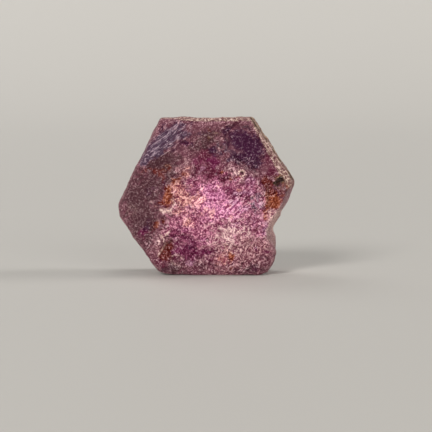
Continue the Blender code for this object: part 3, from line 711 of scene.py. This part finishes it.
            (15.2, 19.8, 0.3, 0.3, 0, 0.6), (7.3, 20.7, 0.15, 0.15, 0, 0.7),
        ),
        "back": ((-0.8, 25.6, 0.6, 0.6, 0, 0.9),),
    },
}


def smoothStep(low, high, value):
    share = np.clip((value - low) / (high - low), 0.0, 1.0)
    return share * share * (3.0 - 2.0 * share)


# one value of a noise for each point, at this wavelength in mm
def noiseAt(points, size, seed):
    shift = Vector((3.7, 9.1, 5.3)) * seed  # any shift will do
    scaled = (points / size).tolist()
    return np.array([noise.noise(Vector(place) + shift) for place in scaled])


# several such noises together: wavelength, weight and seed of each
def wavesAt(points, waves):
    return sum(weight * noiseAt(points, size, seed) for size, weight, seed in waves)


# height of ground broken into flat facets of this size that lean at random
def facetsAt(points, size, lean, seed):
    shift = Vector((7.9, 2.3, 4.1)) * seed
    heights = []
    for place in (points / size).tolist():
        spot = Vector(place) + shift
        centre = noise.voronoi(spot)[1][0]
        tilt = 2.0 * noise.cell_vector(centre * 7.7) - Vector((1.0, 1.0, 1.0))
        heights.append((spot - centre).dot(tilt))
    return np.array(heights) * lean * size


# how much each point belongs to a list of patches on a basal face
def patchesAt(x, z, depth, patches, edge):
    clear = np.ones(len(x))
    for middleX, middleZ, wide, tall, turn, strength in patches:
        cosine, sine = math.cos(math.radians(turn)), math.sin(math.radians(turn))
        along = ((x - middleX) * cosine + (z - middleZ) * sine) / wide
        across = ((z - middleZ) * cosine - (x - middleX) * sine) / tall
        radius = np.sqrt(along**2 + across**2 + (depth / ruby["patchReach"]) ** 2)
        clear *= 1.0 - strength * (1.0 - smoothStep(1.0 - edge, 1.0 + edge, radius))
    return 1.0 - clear


# distance in the face of each point from a line through these places
def distanceAlong(x, z, places):
    nearest = np.full(len(x), np.inf)
    for (startX, startZ), (endX, endZ) in zip(places, places[1:]):
        stepX, stepZ = endX - startX, endZ - startZ
        share = ((x - startX) * stepX + (z - startZ) * stepZ) / (stepX**2 + stepZ**2)
        share = np.clip(share, 0.0, 1.0)
        apart = np.hypot(x - startX - share * stepX, z - startZ - share * stepZ)
        nearest = np.minimum(nearest, apart)
    return nearest


# the mean place of each point's neighbours
def neighbourMean(points, edges, counts):
    mean = np.empty_like(points)
    for axis in range(points.shape[1]):
        column = points[:, axis]
        mean[:, axis] = np.bincount(edges[:, 0], column[edges[:, 1]], len(points))
        mean[:, axis] += np.bincount(edges[:, 1], column[edges[:, 0]], len(points))
    return mean / counts[:, None]


# each pass takes every point half way to that mean
def smoothed(points, edges, counts, passes):
    points = points.copy()
    for _ in range(passes):
        points += 0.5 * (neighbourMean(points, edges, counts) - points)
    return points


# the same, near the worn places alone, and less at the floor
def wearDown(points, edges, counts):
    for middleX, middleZ, reach, passes in ruby["worn"]:
        apart = np.hypot(points[:, 0] - middleX, points[:, 2] - middleZ) / reach
        near = np.flatnonzero(apart < 2.0)  # further off it comes to next to nothing
        share = 0.5 * np.exp(-(apart[near] ** 2))[:, None]
        share = share * smoothStep(0.0, ruby["wornAbove"], points[near, 2])[:, None]
        for _ in range(passes):
            points[near] += share * (neighbourMean(points, edges, counts)[near] - points[near])


# a mesh's points, in mm, and the two points of each of its edges
def readMesh(mesh):
    points = np.empty(len(mesh.vertices) * 3, np.float32)
    mesh.vertices.foreach_get("co", points)
    edges = np.empty(len(mesh.edges) * 2, np.int32)
    mesh.edges.foreach_get("vertices", edges)
    return points.reshape(-1, 3).astype(float) * 1000, edges.reshape(-1, 2)


def writePoints(mesh, points):
    mesh.vertices.foreach_set("co", (points / 1000).astype(np.float32).ravel())
    mesh.update()


def normalsOf(mesh):
    normals = np.empty(len(mesh.vertices) * 3, np.float32)
    mesh.vertex_normals.foreach_get("vector", normals)
    return normals.reshape(-1, 3).astype(float)


def remeshed(node):
    # a fine even mesh in the shape of the solid
    copy = bpy.data.objects.new("ruby_skin", node.data.copy())
    bpy.context.scene.collection.objects.link(copy)
    modifier = copy.modifiers.new("fineSkin", "REMESH")
    modifier.mode = "VOXEL"
    modifier.voxel_size = ruby["voxel"] / 1000
    bpy.context.view_layer.update()
    graph = bpy.context.evaluated_depsgraph_get()
    copy.data = bpy.data.meshes.new_from_object(copy.evaluated_get(graph))
    copy.modifiers.clear()
    return copy


# what each point of the skin is like: where it lies, in mm, and what kind of face it is on
def surveyed(points, normals, low, high):
    spot = SimpleNamespace()
    spot.x, spot.y, spot.z = points.T
    spot.frontDepth = np.maximum(0.0, spot.y - low[1] - ruby["faceDepth"])
    spot.backDepth = np.maximum(0.0, high[1] - ruby["faceDepth"] - spot.y)
    spot.basal = smoothStep(*ruby["basal"], np.abs(normals[:, 1]))
    # patches are looked up at places that this noise has shifted, so that their outlines are ragged
    spot.driftX, spot.driftZ = (
        sum(reach * noiseAt(points, size, seed + size) for size, reach in ruby["drift"]) for seed in (1, 5)
    )
    return spot


def raggedPatches(spot, depth, patches, edge):
    return patchesAt(spot.x + spot.driftX, spot.z + spot.driftZ, depth, patches, edge)


# the kinds of ground on the front face, and how rough it is
def groundOf(spot):
    ground = {}
    for name, patches in ruby["ground"].items():
        ground[name] = raggedPatches(spot, spot.frontDepth, patches, ruby["patchEdge"])
    plain, roughAdds, smoothTakes, least, most = ruby["rough"]
    rough = plain + roughAdds * ground["rough"] - smoothTakes * ground["smooth"]
    return ground, np.clip(rough, least, most)


# heights of the relief in mm, and how much each point gets of the painted highlight on a raised line or
# rim
def reliefOf(points, spot, ground, rough):
    relief = np.zeros(len(points))
    onSides = ruby["facetsOnSides"]
    for number, (size, lean) in enumerate(ruby["facets"]):
        relief += facetsAt(points, size, lean, number + 1) * rough * (onSides + (1 - onSides) * spot.basal)
    for size, seed in ruby["grainWaves"]:
        relief += ruby["grain"] * rough * noiseAt(points, size, seed)

    turn = math.radians(ruby["striaeTurn"])
    across = spot.z * math.cos(turn) - spot.x * math.sin(turn)
    along = spot.x * math.cos(turn) + spot.z * math.sin(turn)
    striae = wavesAt(np.column_stack([across, along, spot.y]) * ruby["striaeDraw"], ruby["striaeWaves"])
    plainShare, striateShare = ruby["striaeShares"]
    relief += ruby["striae"] * (plainShare + striateShare * ground["striate"]) * spot.basal * striae

    crestHighlight = np.zeros(len(points))
    onFront = (1.0 - smoothStep(*ruby["onFront"], spot.frontDepth)) * spot.basal
    waverX, waverZ = spot.x + ruby["waver"] * spot.driftX, spot.z + ruby["waver"] * spot.driftZ
    for tall, wide, places in ruby["ridges"]:
        swell = np.exp(-((distanceAlong(waverX, waverZ, places) / wide) ** 2)) * onFront
        relief += tall * swell
        crestHighlight = np.maximum(crestHighlight, swell * min(1.0, tall / ruby["ridgePale"]))
    rimAt, rimWide = ruby["rim"]
    for middleX, middleZ, radius, depth, rim in ruby["pits"]:
        apart = np.hypot(spot.x - middleX, spot.z - middleZ) / radius
        ring = np.exp(-(((apart - rimAt) / rimWide) ** 2)) * onFront
        relief += rim * ring - depth * np.exp(-(apart**2) * ruby["pitSteep"]) * onFront
        crestHighlight = np.maximum(crestHighlight, ring * min(1.0, rim / ruby["rimPale"]))

    layers = np.column_stack([spot.y, spot.x, spot.z]) * ruby["growthDraw"]
    relief += ruby["growth"] * (1.0 - spot.basal) * wavesAt(layers, ruby["growthWaves"])
    for middleX, middleZ, reach, height in ruby["swells"]:
        apart = np.hypot(spot.x - middleX, spot.z - middleZ) / reach
        relief += height * np.exp(-(apart**2)) * (1.0 - spot.basal)
    return relief * smoothStep(0.0, ruby["foot"], spot.z), crestHighlight


# how deep each point lies below its smoothed place, at two scales, as 0 to 1 with flat ground at 0.5, for
# the painted shade in the hollows
def hollowsOf(points, normals, edges, counts):
    levels = []
    shape = points
    for passes, span in ruby["hollows"]:
        shape = smoothed(shape, edges, counts, passes)
        depth = ((shape - points) * normals).sum(1)
        levels.append(np.clip(0.5 + depth / span, 0.0, 1.0))
    return levels


# pale crust on the top and upper right prism faces, on the strip along the edge, and in scabs
def crustOf(points, spot, inward):
    leftFrom, leftTo, higher = ruby["topLeft"]
    height = spot.z + ruby["waver"] * spot.driftZ - higher * (1.0 - smoothStep(leftFrom, leftTo, spot.x))
    top = smoothStep(*ruby["topCrust"], height)
    width, widthX, gain, least, most = ruby["edgeCrust"]
    strip = np.clip(width + gain * (spot.x - widthX), least, most)
    soft = ruby["edgeSoft"]
    upperRight = 1.0 - smoothStep(-soft, soft, inward - strip + ruby["waver"] * spot.driftX)
    size, seed, edge, strength = ruby["scabs"]
    scabs = smoothStep(0.0, edge, noiseAt(points, size, seed)) * (1.0 - spot.basal) * strength
    scabs = scabs * smoothStep(*ruby["scabsFrom"], spot.frontDepth)
    return np.maximum(np.maximum(top, upperRight), scabs)


def makeCrystal():
    piece = remeshed(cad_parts["ruby_crystal"])
    mesh = piece.data
    points, edges = readMesh(mesh)
    counts = np.bincount(edges.ravel(), minlength=len(points))
    points = smoothed(points, edges, counts, ruby["firstSmooth"])
    wearDown(points, edges, counts)
    writePoints(mesh, points)
    print("skin:", len(points), "points,", 2 * len(mesh.polygons), "triangles")

    low, high = (np.array(corner) * 1000 for corner in cadBox)
    normals = normalsOf(mesh)
    spot = surveyed(points, normals, low, high)
    ground, rough = groundOf(spot)
    colours = {}
    for name, tint in ruby["tints"].items():
        front = raggedPatches(spot, spot.frontDepth, tint["front"], tint["soft"])
        back = raggedPatches(spot, spot.backDepth, tint["back"], tint["soft"])
        colours[name] = np.maximum(front, back)
    print("patches placed")

    relief, crestHighlight = reliefOf(points, spot, ground, rough)
    moved = np.clip(points + normals * relief[:, None], low, high)
    writePoints(mesh, moved)
    print("relief made, from", round(relief.min(), 3), "to", round(relief.max(), 3), "mm")

    fineHollow, broadHollow = hollowsOf(moved, normalsOf(mesh), edges, counts)
    edgeAt, edgeX, edgeZ = ruby["edge"]
    inward = edgeAt - edgeX * spot.x - edgeZ * spot.z
    stripFull, stripEnd, wander = ruby["nearFront"]
    levels = {
        **colours,
        "fineHollow": fineHollow,
        "broadHollow": broadHollow,
        "basal": spot.basal,
        "notch": patchesAt(spot.x, spot.z, 0.0, (ruby["notch"],), ruby["patchEdge"]) * (1.0 - spot.basal),
        "crust": crustOf(points, spot, inward),
        "crestHighlight": crestHighlight,
        "inward": inward,
        "nearFront": 1.0 - smoothStep(stripFull, stripEnd, spot.frontDepth + wander * spot.driftX),
        "rough": np.clip(rough, 0.0, 1.0),
        "striate": ground["striate"],
    }
    for name, level in levels.items():
        attribute = mesh.attributes.new(name, "FLOAT", "POINT")
        attribute.data.foreach_set("value", level.astype(np.float32))
    mesh.shade_smooth()
    print("masks for the colours made")
    return piece


def makeRuby():
    material = bpy.data.materials.new("ruby")
    material.use_nodes = True
    tree = material.node_tree
    shader = tree.nodes["Principled BSDF"]
    start = Wire(tree, None)
    grains, weights, ranges = ruby["grains"], ruby["weights"], ruby["ranges"]

    def mask(name):
        return start.node("ShaderNodeAttribute", {"attribute_name": name}, output=2)

    def colour(name):
        return paint(*ruby[name])

    def share(name, level):
        least, more = ruby["shares"][name]
        return least + level * more

    place = start.node("ShaderNodeTexCoord", output=3).vector("MULTIPLY", (1000, 1000, 1000))  # mm

    # noise at this wavelength in mm, stretched to 0 to 1
    def grain(size, detail, bend, where=place):
        inputs = {"Vector": where, "Scale": 1 / size, "Detail": detail, "Distortion": bend}
        level = start.node("ShaderNodeTexNoise", {"normalize": True}, inputs)
        return level.rise(0.5 - ruby["grainReach"], 0.5 + ruby["grainReach"])

    # crumbs of this size in mm, each a flat facet that leans its own way, and a chance value each
    def crumbs(size, shift):
        inputs = {"Vector": place.vector("ADD", shift), "Scale": 1 / size}
        middle = start.node("ShaderNodeTexVoronoi", {}, inputs, 2)
        chance = start.node("ShaderNodeTexVoronoi", {}, inputs, 1)
        offset = inputs["Vector"].vector("SUBTRACT", middle)
        lean = chance.vector("SUBTRACT", (0.5, 0.5, 0.5))
        facet = start.node("ShaderNodeVectorMath", {"operation": "DOT_PRODUCT"}, {0: offset, 1: lean}, 1)
        pick = start.node("ShaderNodeSeparateColor", {}, {0: chance})
        return facet * (1 / size), pick

    # short strokes of this width, which lean another way on every patch of ground
    def strokes(size, patch, shift):
        inputs = {"Vector": place.vector("ADD", shift), "Scale": 1 / patch}
        chance = start.node("ShaderNodeTexVoronoi", {}, inputs, 1)
        lean = start.node("ShaderNodeSeparateColor", {}, {0: chance}) * math.pi
        leaning = start.node("ShaderNodeVectorRotate", {"rotation_type": "Y_AXIS"}, {0: place, 3: lean})
        return grain(size, 2.0, ruby["strokeBend"], leaning.vector("MULTIPLY", ruby["strokeDraw"]))

    basal, rough, striate = mask("basal"), mask("rough"), mask("striate")
    fine, middle, coarse = (grain(*grains[name]) for name in ("fine", "middle", "coarse"))
    streaks = grain(*grains["streaks"], place.turned(ruby["streakTurn"], ruby["streakDraw"]))
    edgeLines = grain(*grains["edgeLines"], place.turned(ruby["edgeTurn"], ruby["edgeDraw"]))
    growthLines = grain(*grains["growthLines"], place.vector("MULTIPLY", ruby["growthLineDraw"]))
    crumb, crumbChance = crumbs(*ruby["crumb"])
    chip, chipChance = crumbs(*ruby["chip"])
    speckChance = crumbs(*ruby["speck"])[1]

    # the colours of the patches, then the crust, the worn sides, the notch with its painted light, the
    # fringe and the painted highlights on raised lines
    tone = start.node("ShaderNodeRGB")
    tone.socket.default_value = colour("mauve")
    for number, (name, tint) in enumerate(ruby["tints"].items()):
        shift = (7.3 * number, 2.9, 1.1 * number)  # each colour breaks up in its own way
        ragged = grain(*grains["ragged"], place.vector("ADD", shift)) - 0.5
        soft = mask(name)
        spread = (soft + soft * (1 - soft) * ragged * ruby["ragged"]).rise(*ranges["patch"])
        tone = tone.toward(paint(*tint["paint"]), spread * tint["strength"])
    tone = tone.toward((*ruby["gel"], 1.0), 1.0, "MULTIPLY")
    nearFront = mask("nearFront")
    shell = (mask("crust") + (middle - 0.5) * ruby["crustWander"]).rise(*ranges["crust"])
    crust = shell * (share("crust", coarse) + nearFront * ruby["crustNearFront"])
    tone = tone.toward(colour("crust"), crust)
    flank = (1 - basal) * (1 - shell) * share("flank", middle) * (1 - nearFront * ruby["flankNearFront"])
    tone = tone.toward(colour("flank"), flank)
    # the broken flank at the right: pale, and lit further with painted light where it faces away from the
    # key
    tone = tone.toward(colour("crestHighlight"), mask("notch") * share("notch", middle))
    inward = mask("inward") + (edgeLines - 0.5) * ruby["rimWander"]
    fringe = (ruby["fringeTo"] - inward).rise(*ranges["fringe"]) * nearFront
    tone = tone.toward(colour("fringe"), fringe * share("fringe", middle))
    # painted highlight on the raised lines and the rims of the pits
    tone = tone.toward(colour("crestHighlight"), mask("crestHighlight") * ruby["crestHighlightShare"])

    # grain: partly its own pale and dark colour, partly painted highlights on the raised crumbs and
    # painted shade in the crevices and fine hollows
    # the fine hollows of the mesh darken the colour as painted shade
    level = (fine - 0.5) * weights["fine"] + (0.5 - mask("fineHollow")) * weights["hollow"]
    level = level + (crumbChance - 0.5) * weights["crumb"] + (chipChance - 0.5) * weights["chip"]
    level = level + (speckChance - 0.5) * weights["speck"]
    for kind in ruby["strokes"]:
        level = level + (strokes(*kind) - 0.5) * weights["stroke"]
    level = level * (1 - striate * weights["striate"])
    onBasal, onStriate = weights["streaks"]
    level = level + (streaks - 0.5) * (basal * onBasal + striate * onStriate)
    level = level + (edgeLines - 0.5) * shell * basal * weights["edgeLines"]
    level = level + (growthLines - 0.5) * (1 - basal) * weights["growthLines"]
    level = level * ruby["sparkle"]

    contrast = share("rough", rough) * share("coarse", coarse) * share("basal", basal)
    # painted highlight on the raised crumbs: the colour lit up and whitened a little; painted shade in the
    # crevices: the colour darkened
    pale = tone.toward((*ruby["light"], 1.0), 1.0, "MULTIPLY").toward(colour("highlightWhite"), ruby["highlightWhiteInPale"])
    deep = tone.toward((*ruby["shade"], 1.0), 1.0, "MULTIPLY")
    tone = tone.toward(pale, level.rise(*ranges["light"]) * contrast)
    tone = tone.toward(colour("highlightWhite"), level.rise(*ranges["highlightWhite"]) * contrast * ruby["highlightWhiteShare"])
    tone = tone.toward(deep, (0 - level).rise(*ranges["shade"]) * contrast)
    # painted shade in the broad hollows of the mesh; the sides also darken in coarse patches
    shadeInHollows = mask("broadHollow").rise(*ranges["hollow"]) * ruby["hollowShade"]
    onSides = (1 - basal) * coarse.rise(*ranges["sides"]) * ruby["sideShade"]
    tone = tone.toward(deep, shadeInHollows + onSides)
    fromLine = (inward - ruby["partingAt"]).unsigned()
    parting = (ruby["partingAt"] - fromLine).rise(*ranges["parting"]) * nearFront
    tone = tone.toward(colour("parting"), parting * share("parting", middle))

    glint = chipChance.rise(*ranges["glint"]) * rough * ruby["glintShare"]
    gloss = ruby["roughness"] - glint * ruby["glintRoughness"] + shell * ruby["crustRoughness"]
    levelBump, crumbBump, chipBump = ruby["bumps"]
    height = level * levelBump + crumb * crumbBump + chip * chipBump
    relief = {"Strength": 1.0, "Distance": ruby["bump"] / 1000, "Height": height}
    bump = start.node("ShaderNodeBump", {}, relief)
    fed = {"Base Color": tone, "Roughness": gloss, "Normal": bump, "Coat Weight": glint}
    for name, wire in fed.items():
        tree.links.new(wire.socket, shader.inputs[name])
    shader.inputs["Coat Roughness"].default_value = ruby["coatRoughness"]
    shader.inputs["Specular IOR Level"].default_value = ruby["specular"]
    print("ruby's colours made")
    return material


piece = makeCrystal()
piece.data.materials.clear()
piece.data.materials.append(makeRuby())
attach(piece, "root")
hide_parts("ruby_crystal")
print("crystal finished")
